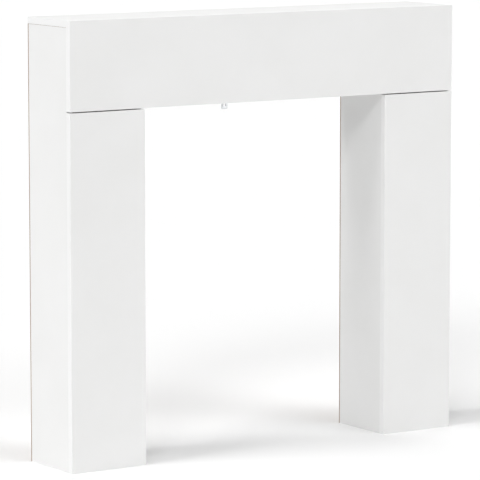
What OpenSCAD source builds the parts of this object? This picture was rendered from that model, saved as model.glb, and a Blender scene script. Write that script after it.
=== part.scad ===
// Fireplace mantelpiece made of flat boards: a hollow header on hollow legs, and a bracket to a wall.
// X runs along the mantelpiece, -Y is its front, +Y is the wall side, and Z = 0 is the floor.

/* [Overall] */
// Width across both legs
width = 1040; // [760:5:1600]
// Height from the floor to the top
height = 1000; // [700:5:1400]
// Depth from the front boards to the wall
depth = 180; // [120:5:350]

/* [Legs and header] */
// Width of each leg
leg_w = 192; // [100:1:260]
// Height of the header's front board
header_h = 199; // [120:1:300]
// Open joint between the header's front board and each leg's
front_gap = 2.5; // [1:0.5:6]

/* [Boards] */
// Thickness of the faced boards
board_t = 15; // [12:0.5:22]
// Thickness of the thin boards behind
back_t = 3; // [2.5:0.5:6]

/* [Wall bracket] */
// Width of the bracket's strip
bracket_w = 16; // [14:1:30]
// Thickness of the strip
bracket_t = 2; // [1.5:0.5:3]
// Drop of the upright part below the header
bracket_drop = 32; // [28:1:60]
// Reach of the flat part under the header
bracket_reach = 26; // [22:1:60]
// Outside radius of the bend
bend_r = 3.5; // [3:0.5:6]
// Radius of the corners at both ends
corner_r = 2; // [1:0.5:4]
// Width of the slot for the wall screw
slot_w = 5; // [4.5:0.5:8]
// Length of the slot, end to end
slot_l = 12; // [10:1:16]
// Metal left below the slot
slot_edge = 6; // [5:1:12]

/* [Bracket screw] */
// Diameter of the shank
screw_d = 4; // [3:0.5:5]
// Diameter of the pan head
head_d = 8; // [6:0.5:10]
// Height of the pan head
head_h = 2.4; // [2:0.2:3.2]
// Diameter of the sphere that domes the head
dome_d = 12; // [11:1:20]
// Length of the pointed tip
tip_l = 4; // [3:0.5:6]
// Width of the cross recess, tip to tip
recess_w = 4.4; // [3:0.2:5]
// Width of each of its wings
recess_t = 1; // [0.6:0.1:1.4]
// Depth of the recess
recess_h = 1.4; // [0.8:0.1:1.8]
// Distance from the bracket's free end to the screw
hole_edge = 9; // [7:1:14]
// Board left above the screw's tip
screw_cover = 3; // [1:0.5:5]
// Radial gap round the shank
shank_gap = 0.2; // [0.1:0.1:0.5]

/* [Hidden] */
$fn = 48;
cut = 1;  // how far a cutter runs past a surface
half_w = width / 2;
front_y = -depth / 2;
wall_y = depth / 2;
carcass_y = front_y + board_t;  // the front boards cover the edges of all the others
back_y = wall_y - back_t;
top_z = height - board_t;
header_z = height - header_h;
leg_in = half_w - leg_w;
bracket_z = header_z - bracket_drop;
screw_y = wall_y - bracket_reach + hole_edge;
screw_top = header_z + board_t - screw_cover;
LEFT = -1;
RIGHT = 1;

// A flat board between two x, two y and two z values
module slab(x, y, z) {
    translate([x[0], y[0], z[0]])
        cube([x[1] - x[0], y[1] - y[0], z[1] - z[0]]);
}

// Turns a right-hand piece into the left-hand one
module on(side) {
    if (side == LEFT) mirror([1, 0, 0]) children();
    else children();
}

// ---- header ----

// Lies on the side boards, behind the header's front board, and reaches the wall
module top_board() {
    color("white")
        slab([-half_w, half_w], [carcass_y, wall_y], [top_z, height]);
}

// Covers the front edges of the top, bottom and side boards
module header_front() {
    color("whitesmoke")
        slab([-half_w, half_w], [front_y, carcass_y], [header_z, height]);
}

// Lies on the inner boards of both legs, between the side boards
module header_bottom() {
    color("gainsboro")
        difference() {
            slab([board_t - half_w, half_w - board_t], [carcass_y, back_y], [header_z, header_z + board_t]);
            translate([0, screw_y, header_z - cut])
                cylinder(h = screw_top - header_z + shank_gap + cut, d = screw_d + 2 * shank_gap);
        }
}

// Closes the header's back between the legs
module header_back() {
    color("burlywood")
        slab([-leg_in, leg_in], [back_y, wall_y], [header_z, top_z]);
}

// ---- legs ----

// Outer board of a leg, which also closes the header's end
module side_board(side) {
    color("white")
        on(side)
            slab([half_w - board_t, half_w], [carcass_y, back_y], [0, top_z]);
}

// Inner board of a leg, which carries the header's bottom board
module inner_board(side) {
    color("gainsboro")
        on(side)
            slab([leg_in, leg_in + board_t], [carcass_y, back_y], [0, header_z]);
}

// Front board of a leg, which stops an open joint short of the header's front board
module leg_front(side) {
    color("whitesmoke")
        on(side)
            slab([leg_in, half_w], [front_y, carcass_y], [0, header_z - front_gap]);
}

// Thin back of a leg, which runs on up behind the header
module leg_back(side) {
    color("burlywood")
        on(side)
            slab([leg_in, half_w], [back_y, wall_y], [0, top_z]);
}

// ---- bracket and screw ----

// Flat part of the strip, from the bend along +y, with round corners at its free end
module tongue(l) {
    translate([-bracket_w / 2, 0])
        square([bracket_w, l - corner_r]);
    translate([corner_r - bracket_w / 2, 0])
        square([bracket_w - 2 * corner_r, l]);
    for (x = [corner_r - bracket_w / 2, bracket_w / 2 - corner_r])
        translate([x, l - corner_r])
            circle(r = corner_r);
}

// Slot with round ends, from the origin along +y
module slot() {
    translate([-slot_w / 2, slot_w / 2])
        square([slot_w, slot_l - slot_w]);
    for (y = [slot_w / 2, slot_l - slot_w / 2])
        translate([0, y])
            circle(d = slot_w);
}

// Part of the bracket that stands against the wall
module upright_part() {
    l = bracket_drop - bend_r;
    translate([0, wall_y - bracket_t, header_z - bend_r])
        rotate([-90, 0, 0])
            linear_extrude(height = bracket_t)
                difference() {
                    tongue(l);
                    translate([0, l - slot_edge - slot_l])
                        slot();
                }
}

// Part of the bracket that lies under the header
module flat_part() {
    l = bracket_reach - bend_r;
    translate([0, wall_y - bend_r, header_z - bracket_t])
        rotate([0, 0, 180])
            linear_extrude(height = bracket_t)
                difference() {
                    tongue(l);
                    translate([0, l - hole_edge])
                        circle(d = screw_d + 2 * shank_gap);
                }
}

// Quarter ring that joins the two parts
module bend() {
    translate([-bracket_w / 2, wall_y - bend_r, header_z - bend_r])
        rotate([90, 0, 90])
            linear_extrude(height = bracket_w)
                intersection() {
                    difference() {
                        circle(r = bend_r);
                        circle(r = bend_r - bracket_t);
                    }
                    square(bend_r);
                }
}

// Steel strip bent to an L, with a slot for the wall screw
module wall_bracket() {
    color("silver")
        union() {
            upright_part();
            flat_part();
            bend();
        }
}

// Pan-head screw that goes up through the bracket into the header's bottom board
module bracket_screw() {
    seat_z = header_z - bracket_t;
    color("darkgray")
        translate([0, screw_y, 0])
            union() {
                difference() {
                    intersection() {
                        translate([0, 0, seat_z - head_h])
                            cylinder(h = head_h, d = head_d);
                        translate([0, 0, seat_z - head_h + dome_d / 2])
                            sphere(d = dome_d);
                    }
                    for (turn = [0, 90])
                        translate([0, 0, seat_z - head_h + (recess_h - cut) / 2])
                            rotate([0, 0, turn])
                                cube([recess_w, recess_t, recess_h + cut], center = true);
                }
                translate([0, 0, seat_z])
                    cylinder(h = screw_top - tip_l - seat_z, d = screw_d);
                translate([0, 0, screw_top - tip_l])
                    cylinder(h = tip_l, d1 = screw_d, d2 = 0.6);
            }
}

top_board();
header_front();
header_bottom();
header_back();
side_board(LEFT);  // side_left
side_board(RIGHT);  // side_right
inner_board(LEFT);  // inner_left
inner_board(RIGHT);  // inner_right
leg_front(LEFT);  // leg_front_left
leg_front(RIGHT);  // leg_front_right
leg_back(LEFT);  // leg_back_left
leg_back(RIGHT);  // leg_back_right
wall_bracket();
bracket_screw();
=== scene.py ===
import math
import bmesh
import bpy
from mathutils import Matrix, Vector


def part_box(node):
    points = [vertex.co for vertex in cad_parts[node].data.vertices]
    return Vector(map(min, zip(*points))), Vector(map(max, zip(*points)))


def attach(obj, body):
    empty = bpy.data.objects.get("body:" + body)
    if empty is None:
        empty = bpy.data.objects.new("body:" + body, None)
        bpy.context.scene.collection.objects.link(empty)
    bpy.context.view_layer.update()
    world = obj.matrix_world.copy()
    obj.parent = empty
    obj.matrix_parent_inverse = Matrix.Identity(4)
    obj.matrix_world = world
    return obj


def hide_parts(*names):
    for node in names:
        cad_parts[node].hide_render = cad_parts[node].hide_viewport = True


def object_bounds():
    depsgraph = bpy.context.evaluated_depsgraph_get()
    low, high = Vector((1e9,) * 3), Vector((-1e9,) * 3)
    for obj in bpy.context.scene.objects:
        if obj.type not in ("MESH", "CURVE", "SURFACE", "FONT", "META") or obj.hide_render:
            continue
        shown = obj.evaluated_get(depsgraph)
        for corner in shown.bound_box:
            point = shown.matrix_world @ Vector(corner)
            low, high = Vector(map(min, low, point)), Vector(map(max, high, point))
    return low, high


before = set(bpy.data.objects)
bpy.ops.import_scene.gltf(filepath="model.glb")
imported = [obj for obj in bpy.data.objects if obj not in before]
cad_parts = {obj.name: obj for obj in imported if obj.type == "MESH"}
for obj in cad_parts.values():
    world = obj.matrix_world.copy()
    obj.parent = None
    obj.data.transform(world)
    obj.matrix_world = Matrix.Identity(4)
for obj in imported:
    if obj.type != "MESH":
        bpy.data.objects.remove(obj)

cadLow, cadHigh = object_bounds()
scene = bpy.context.scene
mm = 0.001
print("frame loaded:", len(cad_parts), "pieces")


# small helpers for every node tree

def addNode(tree, kind, inputs=None, **settings):
    node = tree.nodes.new(kind)
    for name, value in settings.items():
        setattr(node, name, value)
    for key, value in (inputs or {}).items():
        if isinstance(value, bpy.types.NodeSocket):
            tree.links.new(value, node.inputs[key])
        else:
            node.inputs[key].default_value = value
    return node


def calculate(tree, operation, *terms):
    return addNode(tree, "ShaderNodeMath", dict(enumerate(terms)), operation=operation).outputs[0]


def calculateVector(tree, operation, first, second):
    return addNode(tree, "ShaderNodeVectorMath", {0: first, 1: second},
                   operation=operation).outputs[0]


# studio: pale floor, soft lights and the camera

studio = {
    "floorSize": 60.0,
    "floorColour": (0.985, 0.985, 0.985, 1.0),
    "floorRoughness": 0.9,
    "floorShine": 0.1,
    "worldColour": (1.0, 1.0, 1.0, 1.0),
    "worldInGloss": 0.35,   # how bright the surroundings are in reflections
    "lightDistance": 3.0,   # a sun's place changes nothing but where it is drawn
    # name: (turn and height in degrees, width of the light in degrees, strength)
    "lights": {
        "overheadLight": (0.0, 88.0, 30.0, 0.50),
        "leftLight": (-90.0, 30.0, 60.0, 0.98),
        "highLeftLight": (-90.0, 45.0, 24.0, 1.12),
        "cornerLight": (-45.0, 30.0, 15.0, 0.76),
        "frontLight": (30.0, 15.0, 40.0, 1.25),
        "highFrontLight": (25.0, 38.0, 40.0, 0.25),
        "backdropLight": (146.0, 22.0, 60.0, 0.62),
        "lowBackdropLight": (146.0, 12.0, 90.0, 0.98),
    },
}

cameraFacts = {
    "turn": -33.667,      # degrees, negative to the object's left
    "height": 7.46,       # degrees above the floor's plane
    "distance": 7.686,
    "lens": 251.32,
    "aim": (-0.0128, 0.0047, -0.0256),   # from the middle of the object
}


def directionTo(turn, height):
    # turn 0 is straight in front, negative to the left; height is above the floor
    a, e = math.radians(turn), math.radians(height)
    return Vector((math.sin(a) * math.cos(e), -math.cos(a) * math.cos(e), math.sin(e)))


def makeFloor():
    bpy.ops.mesh.primitive_plane_add(size=studio["floorSize"], location=(0, 0, cadLow.z))
    floor = bpy.context.object
    floor.name = "studioFloor"
    paint = bpy.data.materials.new("floorPaint")
    paint.use_nodes = True
    shader = paint.node_tree.nodes["Principled BSDF"]
    shader.inputs["Base Color"].default_value = studio["floorColour"]
    shader.inputs["Roughness"].default_value = studio["floorRoughness"]
    shader.inputs["Specular IOR Level"].default_value = studio["floorShine"]
    floor.data.materials.append(paint)


def makeLight(name, turn, height, width, strength):
    lamp = bpy.data.lights.new(name, "SUN")
    lamp.angle = math.radians(width)
    lamp.energy = strength
    light = bpy.data.objects.new(name, lamp)
    scene.collection.objects.link(light)
    away = directionTo(turn, height)
    light.location = (cadLow + cadHigh) / 2 + away * studio["lightDistance"]
    light.rotation_mode = "QUATERNION"
    light.rotation_quaternion = away.to_track_quat("Z", "Y")


def makeWorld():
    world = bpy.data.worlds.new("studioWorld")
    scene.world = world
    world.use_nodes = True
    sky = world.node_tree.nodes["Background"]
    sky.inputs["Color"].default_value = studio["worldColour"]
    # white past the floor and softer in reflections, but no light of its own
    path = addNode(world.node_tree, "ShaderNodeLightPath").outputs
    inGloss = calculate(world.node_tree, "MULTIPLY", path["Is Glossy Ray"], studio["worldInGloss"])
    seen = calculate(world.node_tree, "MAXIMUM", path["Is Camera Ray"], inGloss)
    world.node_tree.links.new(seen, sky.inputs["Strength"])


def makeCamera():
    lens = bpy.data.cameras.new("studioCamera")
    lens.sensor_width = 36.0
    lens.lens = cameraFacts["lens"]
    lens.clip_start = 0.1
    lens.clip_end = 100.0
    camera = bpy.data.objects.new("studioCamera", lens)
    scene.collection.objects.link(camera)
    away = directionTo(cameraFacts["turn"], cameraFacts["height"])
    aim = (cadLow + cadHigh) / 2 + Vector(cameraFacts["aim"])
    camera.location = aim + away * cameraFacts["distance"]
    camera.rotation_mode = "QUATERNION"
    camera.rotation_quaternion = away.to_track_quat("Z", "Y")
    scene.camera = camera


makeFloor()
makeWorld()
for lightName, lightFacts in studio["lights"].items():
    makeLight(lightName, *lightFacts)
makeCamera()
scene.view_settings.view_transform = "Standard"
print("studio and camera set")


# finishes; all of them read Object coordinates, or an attribute of the piece

def newPaint(name, roughness, metallic=0.0):
    paint = bpy.data.materials.new(name)
    paint.use_nodes = True
    shader = paint.node_tree.nodes["Principled BSDF"]
    shader.inputs["Metallic"].default_value = metallic
    shader.inputs["Roughness"].default_value = roughness
    return paint, paint.node_tree, shader


def objectPlace(tree, scale=(1.0, 1.0, 1.0), turn=(0.0, 0.0, 0.0)):
    place = addNode(tree, "ShaderNodeTexCoord").outputs["Object"]
    return addNode(tree, "ShaderNodeMapping",
                   {"Vector": place, "Scale": scale, "Rotation": turn}).outputs["Vector"]


def noise(tree, place, grain, detail=2.0, coarseness=0.5):
    # grain is the size of the pattern in metres
    return addNode(tree, "ShaderNodeTexNoise",
                   {"Vector": place, "Scale": 1 / grain, "Detail": detail,
                    "Roughness": coarseness}).outputs["Fac"]


def spread(tree, value, low, high, toLow, toHigh):
    return addNode(tree, "ShaderNodeMapRange",
                   {"Value": value, "From Min": low, "From Max": high,
                    "To Min": toLow, "To Max": toHigh}).outputs["Result"]


def mixColours(tree, amount, first, second):
    mix = addNode(tree, "ShaderNodeMix", data_type="RGBA")
    for index, value in ((0, amount), (6, first), (7, second)):
        if isinstance(value, bpy.types.NodeSocket):
            tree.links.new(value, mix.inputs[index])
        elif index:
            mix.inputs[index].default_value = (*value, 1.0)
        else:
            mix.inputs[index].default_value = value
    return mix.outputs[2]


def bump(tree, height, depth, below=None):
    inputs = {"Height": height, "Strength": 1.0, "Distance": depth}
    if below:
        inputs["Normal"] = below
    return addNode(tree, "ShaderNodeBump", inputs).outputs["Normal"]


whiteFinishes = {
    # satin melamine paper pressed on the boards
    "boardMelamine": {
        "light": (0.768, 0.768, 0.764), "dull": (0.752, 0.752, 0.746),
        "cloud": 0.16, "pearl": 0.0011, "pearlDepth": 0.000012,
        "swell": 0.05, "swellDepth": 0.00004, "roughness": (0.44, 0.54), "shine": 0.18,
        "stretch": (1.0, 1.0, 1.0)},
    # thin plastic strip glued on the boards' edges
    "edgeBand": {
        "light": (0.800, 0.800, 0.798), "dull": (0.788, 0.788, 0.785),
        "cloud": 0.08, "pearl": 0.0007, "pearlDepth": 0.000006,
        "swell": 0.02, "swellDepth": 0.00002, "roughness": (0.38, 0.46), "shine": 0.25,
        "stretch": (1.0, 1.0, 0.25)},
}


def whitePaint(name, facts):
    paint, tree, shader = newPaint(name, 0.4)
    shader.inputs["Specular IOR Level"].default_value = facts["shine"]
    place = objectPlace(tree, facts["stretch"])
    cloud = noise(tree, place, facts["cloud"], 3.0, 0.55)
    tone = spread(tree, cloud, 0.35, 0.65, 0.0, 1.0)
    tree.links.new(mixColours(tree, tone, facts["dull"], facts["light"]),
                   shader.inputs["Base Color"])
    smear = noise(tree, place, facts["cloud"] / 4, 4.0, 0.6)
    tree.links.new(spread(tree, smear, 0.3, 0.7, *facts["roughness"]), shader.inputs["Roughness"])
    swell = bump(tree, noise(tree, place, facts["swell"], 1.0), facts["swellDepth"])
    pearl = noise(tree, place, facts["pearl"], 2.0, 0.6)
    tree.links.new(bump(tree, pearl, facts["pearlDepth"], swell), shader.inputs["Normal"])
    return paint


chipboardFacts = {
    "coreChip": 0.0034,          # size of the chips in the middle, metres
    "skinChip": 0.0011,          # and of the fine ones near the faces
    "ripple": 1 / 260,           # size of the waves that bend the chips, metres
    "rippleShift": 0.0025,
    # shares of the thickness, from the middle: where the fine layer starts, and the white paper
    "skinFrom": 0.27,
    "skinBlend": 0.05,
    "paperFrom": 0.484,
    "lightChip": (0.56, 0.42, 0.27),
    "darkChip": (0.27, 0.17, 0.095),
    "gap": (0.12, 0.075, 0.045),
    "paper": (0.76, 0.76, 0.755),
    "depth": 0.00035,
}


def chips(tree, place, size):
    cells = {"Vector": place, "Scale": 1 / size, "Randomness": 1.0}
    colour = addNode(tree, "ShaderNodeTexVoronoi", cells, feature="F1").outputs["Color"]
    tone = addNode(tree, "ShaderNodeSeparateColor", {"Color": colour}).outputs[0]
    seam = addNode(tree, "ShaderNodeTexVoronoi", cells,
                   feature="DISTANCE_TO_EDGE").outputs["Distance"]
    return tone, spread(tree, seam, 0.0, 0.12, 0.0, 1.0)


def chipboardPaint():
    facts = chipboardFacts
    paint, tree, shader = newPaint("rawChipboard", 0.85)
    place = objectPlace(tree)
    ripple = addNode(tree, "ShaderNodeTexNoise",
                     {"Vector": place, "Scale": 1 / facts["ripple"], "Detail": 2.0})
    shifted = calculateVector(tree, "MULTIPLY", ripple.outputs["Color"],
                              (facts["rippleShift"],) * 3)
    place = calculateVector(tree, "ADD", place, shifted)
    across = addNode(tree, "ShaderNodeAttribute", attribute_name="acrossBoard").outputs["Fac"]
    outward = calculate(tree, "ABSOLUTE", across)
    inSkin = spread(tree, outward, facts["skinFrom"] - facts["skinBlend"],
                    facts["skinFrom"] + facts["skinBlend"], 0.0, 1.0)
    inPaper = calculate(tree, "GREATER_THAN", outward, facts["paperFrom"])
    layers = []
    for size in (facts["coreChip"], facts["skinChip"]):
        tone, seam = chips(tree, place, size)
        wood = mixColours(tree, tone, facts["darkChip"], facts["lightChip"])
        relief = calculate(tree, "MULTIPLY", calculate(tree, "ADD", seam, tone),
                           size / facts["coreChip"])
        layers.append((mixColours(tree, seam, facts["gap"], wood), relief))
    wood = mixColours(tree, inSkin, layers[0][0], layers[1][0])
    tree.links.new(mixColours(tree, inPaper, wood, facts["paper"]), shader.inputs["Base Color"])
    height = addNode(tree, "ShaderNodeMix", {0: inSkin, 2: layers[0][1], 3: layers[1][1]},
                     data_type="FLOAT").outputs[0]
    tree.links.new(bump(tree, height, facts["depth"]), shader.inputs["Normal"])
    return paint


hardboardFinishes = {
    # smooth pressed face, towards the inside
    "hardboardFace": {"light": (0.33, 0.215, 0.13), "dark": (0.25, 0.155, 0.09),
                      "fibre": 0.0018, "fibreDepth": 0.00002, "mesh": 0.0, "roughness": 0.52},
    # the wire mesh of the press shows in the rear face
    "hardboardRear": {"light": (0.31, 0.205, 0.125), "dark": (0.20, 0.125, 0.072),
                      "fibre": 0.0014, "fibreDepth": 0.00006, "mesh": 0.0016, "roughness": 0.82},
    # sawn edge
    "hardboardEdge": {"light": (0.30, 0.175, 0.095), "dark": (0.19, 0.105, 0.055),
                      "fibre": 0.0008, "fibreDepth": 0.00012, "mesh": 0.0, "roughness": 0.9},
}


def hardboardPaint(name, facts):
    paint, tree, shader = newPaint(name, facts["roughness"])
    place = objectPlace(tree)
    cloud = noise(tree, place, 0.07, 4.0, 0.6)
    fibre = noise(tree, place, facts["fibre"], 4.0, 0.7)
    tone = calculate(tree, "ADD", spread(tree, cloud, 0.3, 0.7, 0.0, 0.5),
                     spread(tree, fibre, 0.3, 0.7, 0.0, 0.5))
    normal = bump(tree, fibre, facts["fibreDepth"])
    if facts["mesh"]:
        parts = addNode(tree, "ShaderNodeSeparateXYZ", {"Vector": place})
        waves = [calculate(tree, "SINE", calculate(tree, "MULTIPLY", parts.outputs[axis],
                                                   2 * math.pi / facts["mesh"]))
                 for axis in ("X", "Z")]
        weave = calculate(tree, "MULTIPLY", *waves)
        tone = calculate(tree, "ADD", tone, calculate(tree, "MULTIPLY", weave, 0.12))
        normal = bump(tree, weave, 0.00012, normal)
    tree.links.new(mixColours(tree, tone, facts["dark"], facts["light"]),
                   shader.inputs["Base Color"])
    tree.links.new(normal, shader.inputs["Normal"])
    return paint


metalFinishes = {
    "zincPlate": {"light": (0.70, 0.71, 0.72), "dark": (0.58, 0.595, 0.61), "spangle": 0.0035,
                  "roughness": (0.28, 0.42), "grain": 0.0002, "grainDepth": 0.000004},
    "bradSteel": {"light": (0.62, 0.62, 0.61), "dark": (0.45, 0.45, 0.44), "spangle": 0.0012,
                  "roughness": (0.30, 0.50), "grain": 0.0002, "grainDepth": 0.000005},
}


def metalPaint(name, facts):
    paint, tree, shader = newPaint(name, 0.35, 1.0)
    place = objectPlace(tree)
    colour = addNode(tree, "ShaderNodeTexVoronoi",
                     {"Vector": place, "Scale": 1 / facts["spangle"]}).outputs["Color"]
    crystal = addNode(tree, "ShaderNodeSeparateColor", {"Color": colour}).outputs[0]
    tree.links.new(mixColours(tree, crystal, facts["dark"], facts["light"]),
                   shader.inputs["Base Color"])
    tree.links.new(spread(tree, crystal, 0.0, 1.0, *facts["roughness"]), shader.inputs["Roughness"])
    brushed = noise(tree, objectPlace(tree, (1.0, 0.15, 0.15)), facts["grain"], 2.0)
    tree.links.new(bump(tree, brushed, facts["grainDepth"]), shader.inputs["Normal"])
    return paint


paints = {name: whitePaint(name, facts) for name, facts in whiteFinishes.items()}
paints["rawChipboard"] = chipboardPaint()
paints.update({name: hardboardPaint(name, facts) for name, facts in hardboardFinishes.items()})
paints.update({name: metalPaint(name, facts) for name, facts in metalFinishes.items()})
print("finishes made:", ", ".join(paints))


# trees that build the boards

def startTree(name, sockets):
    tree = bpy.data.node_groups.new(name, "GeometryNodeTree")
    tree.is_modifier = True
    tree.interface.new_socket("Geometry", in_out="INPUT", socket_type="NodeSocketGeometry")
    for label, kind in sockets.items():
        tree.interface.new_socket(label, in_out="INPUT", socket_type="NodeSocket" + kind)
    tree.interface.new_socket("Geometry", in_out="OUTPUT", socket_type="NodeSocketGeometry")
    return tree, tree.nodes.new("NodeGroupInput").outputs


def block(tree, low, high):
    # closed box between two corners
    size = calculateVector(tree, "SUBTRACT", high, low)
    middle = calculateVector(tree, "MULTIPLY", (0.5, 0.5, 0.5),
                             calculateVector(tree, "ADD", low, high))
    cube = addNode(tree, "GeometryNodeMeshCube", {"Size": size}).outputs["Mesh"]
    return addNode(tree, "GeometryNodeTransform",
                   {"Geometry": cube, "Translation": middle}).outputs[0]


def mark(tree, geometry, name, value, domain="FACE", kind="INT", selection=True):
    return addNode(tree, "GeometryNodeStoreNamedAttribute",
                   {"Geometry": geometry, "Selection": selection, "Name": name, "Value": value},
                   domain=domain, data_type=kind).outputs[0]


def facing(tree, axis):
    # how far each face looks along an axis
    normal = addNode(tree, "GeometryNodeInputNormal").outputs[0]
    return addNode(tree, "ShaderNodeSeparateXYZ", {"Vector": normal}).outputs[axis]


def closeTree(tree, geometry, coats):
    # makes the result real, flat shaded, and gives each marked group of faces its material
    geometry = addNode(tree, "GeometryNodeRealizeInstances", {"Geometry": geometry}).outputs[0]
    geometry = addNode(tree, "GeometryNodeSetShadeSmooth",
                       {"Geometry": geometry, "Shade Smooth": False}).outputs[0]
    finish = addNode(tree, "GeometryNodeInputNamedAttribute", {"Name": "finish"},
                     data_type="INT").outputs[0]
    for number, coat in enumerate(coats):
        chosen = calculate(tree, "COMPARE", finish, float(number), 0.5)
        geometry = addNode(tree, "GeometryNodeSetMaterial",
                           {"Geometry": geometry, "Selection": chosen, "Material": coat}).outputs[0]
    tree.links.new(geometry, addNode(tree, "NodeGroupOutput").inputs[0])


def runTree(name, lines, tree, values):
    # the piece starts as its guide lines and ends as a plain mesh
    piece = bpy.data.objects.new(name, lines)
    scene.collection.objects.link(piece)
    modifier = piece.modifiers.new(tree.name, "NODES")
    modifier.node_group = tree
    for item in tree.interface.items_tree:
        if item.in_out == "INPUT" and item.name in values:
            modifier[item.identifier] = values[item.name]
    bpy.context.view_layer.update()
    depsgraph = bpy.context.evaluated_depsgraph_get()
    mesh = bpy.data.meshes.new_from_object(piece.evaluated_get(depsgraph),
                                           preserve_all_data_layers=True, depsgraph=depsgraph)
    piece.modifiers.clear()
    piece.data = mesh
    mesh.name = name
    mesh.materials.pop(index=0)   # the slot that the tree leaves empty
    bpy.data.meshes.remove(lines)
    return piece


def guideLines(name, runs):
    points, edges = [], []
    for run, closed in runs:
        first = len(points)
        points += run
        edges += [(i, i + 1) for i in range(first, len(points) - 1)]
        if closed:
            edges.append((len(points) - 1, first))
    lines = bpy.data.meshes.new(name)
    lines.from_pydata(points, edges, [])
    return lines


def settle(piece, slotName, *nodes):
    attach(piece, "root")
    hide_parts(*nodes)


quarter = math.pi / 2
boardFacts = {
    "bandThickness": 0.8 * mm,
    "arrisRadius": 0.55 * mm,
    "cornerRadius": 0.9 * mm,
    "roundSteps": 6,
    "bandShort": 0.04 * mm,   # the strip is this much narrower than its board is thick
    "seam": 0.4 * mm,   # narrow joint between the top board and the side boards under it
    # how a board built lying flat is turned, and its corner (x, y, z) before the turn
    "turns": {"flat": (0.0, 0.0, 0.0), "front": (quarter, 0.0, 0.0),
              "side": (quarter, 0.0, quarter)},
    # node: (way it stands, edges with a strip)
    "boards": {
        "top_board": ("flat", ("right", "left")),
        "header_front": ("front", ("bottom", "right", "top", "left")),
        "side_left": ("side", ("left",)),
        "side_right": ("side", ("left",)),
        "inner_left": ("side", ("left",)),
        "inner_right": ("side", ("left",)),
        "leg_front_left": ("front", ("right", "top", "left")),
        "leg_front_right": ("front", ("right", "top", "left")),
    },
}


def roundCorners(tree, curve, radius):
    return addNode(tree, "GeometryNodeFilletCurve",
                   {"Curve": curve, "Count": boardFacts["roundSteps"], "Radius": radius},
                   mode="POLY").outputs[0]


def facedBoardTree():
    # a chipboard panel with white faces, and a plastic strip along the guide lines
    tree, given = startTree("facedBoard", {
        "Panel Low": "Vector", "Panel High": "Vector", "Board Thickness": "Float",
        "Band Thickness": "Float", "Arris Radius": "Float", "Corner Radius": "Float",
        "Turn": "Vector", "Face Material": "Material", "Edge Material": "Material",
        "Band Material": "Material"})
    panel = block(tree, given["Panel Low"], given["Panel High"])
    middle = calculateVector(tree, "MULTIPLY", (0.5, 0.5, 0.5),
                             calculateVector(tree, "ADD", given["Panel Low"], given["Panel High"]))
    position = addNode(tree, "GeometryNodeInputPosition").outputs[0]
    fromMiddle = calculateVector(tree, "SUBTRACT", position, middle)
    height = addNode(tree, "ShaderNodeSeparateXYZ", {"Vector": fromMiddle}).outputs["Z"]
    across = calculate(tree, "DIVIDE", height, given["Board Thickness"])
    panel = mark(tree, panel, "acrossBoard", across, "POINT", "FLOAT")
    isEdge = calculate(tree, "LESS_THAN", calculate(tree, "ABSOLUTE", facing(tree, "Z")), 0.5)
    panel = mark(tree, panel, "finish", isEdge)

    path = addNode(tree, "GeometryNodeMeshToCurve", {"Mesh": given["Geometry"]}).outputs[0]
    path = roundCorners(tree, path, given["Corner Radius"])
    path = addNode(tree, "GeometryNodeSetCurveNormal", {"Curve": path}, mode="Z_UP").outputs[0]
    bandHeight = calculate(tree, "SUBTRACT", given["Board Thickness"], boardFacts["bandShort"])
    section = addNode(tree, "GeometryNodeCurvePrimitiveQuadrilateral",
                      {"Width": given["Band Thickness"], "Height": bandHeight}).outputs[0]
    position = addNode(tree, "GeometryNodeInputPosition").outputs[0]
    sideways = addNode(tree, "ShaderNodeSeparateXYZ", {"Vector": position}).outputs["X"]
    # only the two outer corners of the strip are rounded
    outerOnly = calculate(tree, "MULTIPLY", calculate(tree, "GREATER_THAN", sideways, 0.0),
                          given["Arris Radius"])
    section = roundCorners(tree, section, outerOnly)
    band = addNode(tree, "GeometryNodeCurveToMesh",
                   {"Curve": path, "Profile Curve": section, "Fill Caps": True}).outputs[0]
    band = mark(tree, band, "finish", 2)

    whole = addNode(tree, "GeometryNodeJoinGeometry", {"Geometry": panel})
    tree.links.new(band, whole.inputs[0])
    turned = addNode(tree, "GeometryNodeTransform",
                     {"Geometry": whole.outputs[0], "Rotation": given["Turn"]}).outputs[0]
    closeTree(tree, turned, [given[coat + " Material"] for coat in ("Face", "Edge", "Band")])
    return tree


def lyingBox(node, stands):
    # the node's corners as they are before its turn
    low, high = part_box(node)
    if stands == "front":
        return Vector((low.x, low.z, -high.y)), Vector((high.x, high.z, -low.y))
    if stands == "side":
        return Vector((low.y, low.z, low.x)), Vector((high.y, high.z, high.x))
    return Vector(low), Vector(high)


def bandRuns(low, high, banded, inset):
    # strips follow each other anticlockwise round the board, so they face outwards
    around = ("bottom", "right", "top", "left")
    x = [low.x + inset * ("left" in banded), high.x - inset * ("right" in banded)]
    y = [low.y + inset * ("bottom" in banded), high.y - inset * ("top" in banded)]
    z = (low.z + high.z) / 2
    corners = [(x[0], y[0], z), (x[1], y[0], z), (x[1], y[1], z), (x[0], y[1], z)]
    if len(banded) == 4:
        return [(corners, True)]
    runs, run = [], []
    start = next(i for i in range(4) if around[i] not in banded)
    for i in range(start + 1, start + 5):
        if around[i % 4] in banded:
            run = run or [corners[i % 4]]
            run.append(corners[(i + 1) % 4])
        elif run:
            runs.append((run, False))
            run = []
    return runs


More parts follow.
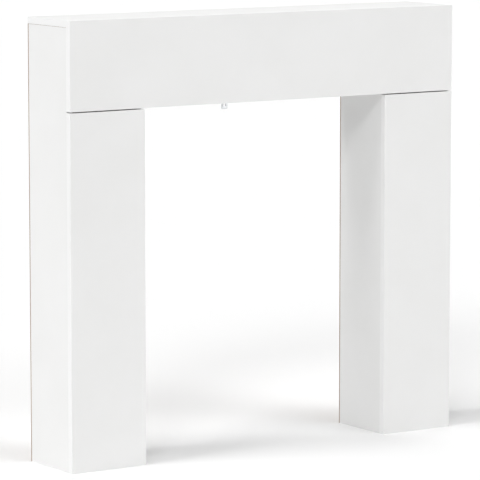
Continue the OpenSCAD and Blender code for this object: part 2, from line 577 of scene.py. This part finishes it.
def makeBoard(node, stands, banded, tree):
    facts = boardFacts
    low, high = lyingBox(node, stands)
    if node.startswith("side_"):
        high.y -= facts["seam"]
    strip = facts["bandThickness"]
    panelLow, panelHigh = low.copy(), high.copy()
    panelLow.x += strip * ("left" in banded)
    panelHigh.x -= strip * ("right" in banded)
    panelLow.y += strip * ("bottom" in banded)
    panelHigh.y -= strip * ("top" in banded)
    lines = guideLines(node + "Lines", bandRuns(low, high, banded, strip / 2))
    board = runTree("faced_" + node, lines, tree, {
        "Panel Low": panelLow, "Panel High": panelHigh, "Board Thickness": high.z - low.z,
        "Band Thickness": strip, "Arris Radius": facts["arrisRadius"],
        "Corner Radius": facts["cornerRadius"], "Turn": facts["turns"][stands],
        "Face Material": paints["boardMelamine"], "Edge Material": paints["rawChipboard"],
        "Band Material": paints["edgeBand"]})
    settle(board, "white_board", node)


facedBoard = facedBoardTree()
for boardNode, (boardStands, boardBanded) in boardFacts["boards"].items():
    makeBoard(boardNode, boardStands, boardBanded, facedBoard)
print("boards made:", len(boardFacts["boards"]))


hardboardFacts = {
    "nailSpacing": 0.11,
    "nailFromEnd": 0.03,
    "headDiameter": 2.6 * mm,
    "headRise": 0.22 * mm,
    "headSegments": 14,
    "headRings": 6,
    "wander": (0.9 * mm, 4 * mm),   # how far a nail may stray, across its row and upwards
    "clearance": 0.5 * mm,          # at each end of the header's back, so that the joints show
    "seed": 7,
}


def hardboardTree():
    # thin board, with a row of nail heads along the guide lines
    tree, given = startTree("nailedHardboard", {
        "Board Low": "Vector", "Board High": "Vector", "Nail Spacing": "Float",
        "Head Diameter": "Float", "Head Rise": "Float", "Seed": "Int",
        "Face Material": "Material", "Rear Material": "Material", "Edge Material": "Material",
        "Nail Material": "Material"})
    board = block(tree, given["Board Low"], given["Board High"])
    board = mark(tree, board, "finish", 2)
    outward = facing(tree, "Y")
    board = mark(tree, board, "finish", 0, selection=calculate(tree, "LESS_THAN", outward, -0.5))
    board = mark(tree, board, "finish", 1, selection=calculate(tree, "GREATER_THAN", outward, 0.5))

    row = addNode(tree, "GeometryNodeMeshToCurve", {"Mesh": given["Geometry"]}).outputs[0]
    row = addNode(tree, "GeometryNodeResampleCurve",
                  {"Curve": row, "Length": given["Nail Spacing"]}, mode="LENGTH").outputs[0]
    sideways, along = hardboardFacts["wander"]
    wander = addNode(tree, "FunctionNodeRandomValue",
                     {0: (-sideways, 0.0, -along), 1: (sideways, 0.0, along),
                      "Seed": given["Seed"]},
                     data_type="FLOAT_VECTOR").outputs[0]
    row = addNode(tree, "GeometryNodeSetPosition", {"Geometry": row, "Offset": wander}).outputs[0]
    radius = calculate(tree, "MULTIPLY", given["Head Diameter"], 0.5)
    head = addNode(tree, "GeometryNodeMeshUVSphere",
                   {"Segments": hardboardFacts["headSegments"], "Rings": hardboardFacts["headRings"],
                    "Radius": radius}).outputs["Mesh"]
    head = addNode(tree, "GeometryNodeTransform",
                   {"Geometry": head, "Rotation": (quarter, 0.0, 0.0)}).outputs[0]
    rise = calculate(tree, "DIVIDE", given["Head Rise"], radius)
    flatter = addNode(tree, "ShaderNodeCombineXYZ", {"X": 1.0, "Y": rise, "Z": 1.0})
    head = addNode(tree, "GeometryNodeTransform",
                   {"Geometry": head, "Scale": flatter.outputs[0]}).outputs[0]
    nails = addNode(tree, "GeometryNodeInstanceOnPoints",
                    {"Points": row, "Instance": head}).outputs[0]
    nails = addNode(tree, "GeometryNodeRealizeInstances", {"Geometry": nails}).outputs[0]
    nails = mark(tree, nails, "finish", 3)

    whole = addNode(tree, "GeometryNodeJoinGeometry", {"Geometry": board})
    tree.links.new(nails, whole.inputs[0])
    closeTree(tree, whole.outputs[0],
              [given[coat + " Material"] for coat in ("Face", "Rear", "Edge", "Nail")])
    return tree


def middleOf(node):
    low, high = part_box(node)
    return (low + high) / 2


def nailRuns(node):
    # nails go into the boards that this one closes
    low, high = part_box(node)
    y = high.y - hardboardFacts["headRise"]
    end = hardboardFacts["nailFromEnd"]
    shelfHeight = middleOf("header_bottom").z
    if node == "header_back":
        return [([(low.x + end, y, shelfHeight), (high.x - end, y, shelfHeight)], False)]
    side = node.rsplit("_", 1)[1]
    outerX, innerX = middleOf("side_" + side).x, middleOf("inner_" + side).x
    across = sorted((outerX, innerX))
    return [([(outerX, y, low.z + end), (outerX, y, high.z - end)], False),
            ([(innerX, y, low.z + end), (innerX, y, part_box("inner_" + side)[1].z - end)], False),
            ([(across[0] + end, y, shelfHeight), (across[1] - end, y, shelfHeight)], False)]


def makeHardboard(node, order, tree):
    facts = hardboardFacts
    low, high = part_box(node)
    clearance = facts["clearance"] * (node == "header_back")
    low = Vector((low.x + clearance, low.y, low.z))
    high = Vector((high.x - clearance, high.y - facts["headRise"], high.z))
    board = runTree("nailed_" + node, guideLines(node + "Lines", nailRuns(node)), tree, {
        "Board Low": low, "Board High": high, "Nail Spacing": facts["nailSpacing"],
        "Head Diameter": facts["headDiameter"], "Head Rise": facts["headRise"],
        "Seed": facts["seed"] + order, "Face Material": paints["hardboardFace"],
        "Rear Material": paints["hardboardRear"], "Edge Material": paints["hardboardEdge"],
        "Nail Material": paints["bradSteel"]})
    settle(board, "hardboard", node)


nailedHardboard = hardboardTree()
for hardboardOrder, hardboardNode in enumerate(("header_back", "leg_back_left", "leg_back_right")):
    makeHardboard(hardboardNode, hardboardOrder, nailedHardboard)
print("hardboard backs made and nailed")


# bracket and screw, with the sharp edges taken off

softenFacts = {
    "wall_bracket": {"piece": "pressed_bracket", "bevel": 0.22 * mm, "segments": 3},
    "bracket_screw": {"piece": "pan_head_screw", "bevel": 0.07 * mm, "segments": 2},
}
mergeDistance = 0.001 * mm
flatAngle = math.radians(0.5)    # faces that turn less than this are one face
sharpAngle = math.radians(35)    # edges that turn more than this are softened


def softenedCopy(node, facts):
    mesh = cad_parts[node].data.copy()
    shape = bmesh.new()
    shape.from_mesh(mesh)
    bmesh.ops.remove_doubles(shape, verts=shape.verts, dist=mergeDistance)
    bmesh.ops.dissolve_limit(shape, angle_limit=flatAngle, verts=shape.verts, edges=shape.edges)
    bmesh.ops.recalc_face_normals(shape, faces=shape.faces)
    for face in shape.faces:
        face.smooth = True
    shape.to_mesh(mesh)
    shape.free()
    mesh.materials.clear()
    mesh.materials.append(paints["zincPlate"])
    piece = bpy.data.objects.new(facts["piece"], mesh)
    scene.collection.objects.link(piece)
    softer = piece.modifiers.new("softer", "BEVEL")
    softer.width = facts["bevel"]
    softer.segments = facts["segments"]
    softer.limit_method = "ANGLE"
    softer.angle_limit = sharpAngle
    softer.harden_normals = True
    bpy.context.view_layer.update()
    depsgraph = bpy.context.evaluated_depsgraph_get()
    finished = bpy.data.meshes.new_from_object(piece.evaluated_get(depsgraph), depsgraph=depsgraph)
    piece.modifiers.clear()
    piece.data = finished
    settle(piece, "zinc_steel", node)


for metalNode, metalFacts in softenFacts.items():
    softenedCopy(metalNode, metalFacts)
print("bracket and screw softened")

# the header's bottom board keeps its own shape, with the pilot hole for the screw
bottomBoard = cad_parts["header_bottom"]
bottomBoard.data.materials.clear()
bottomBoard.data.materials.append(paints["boardMelamine"])
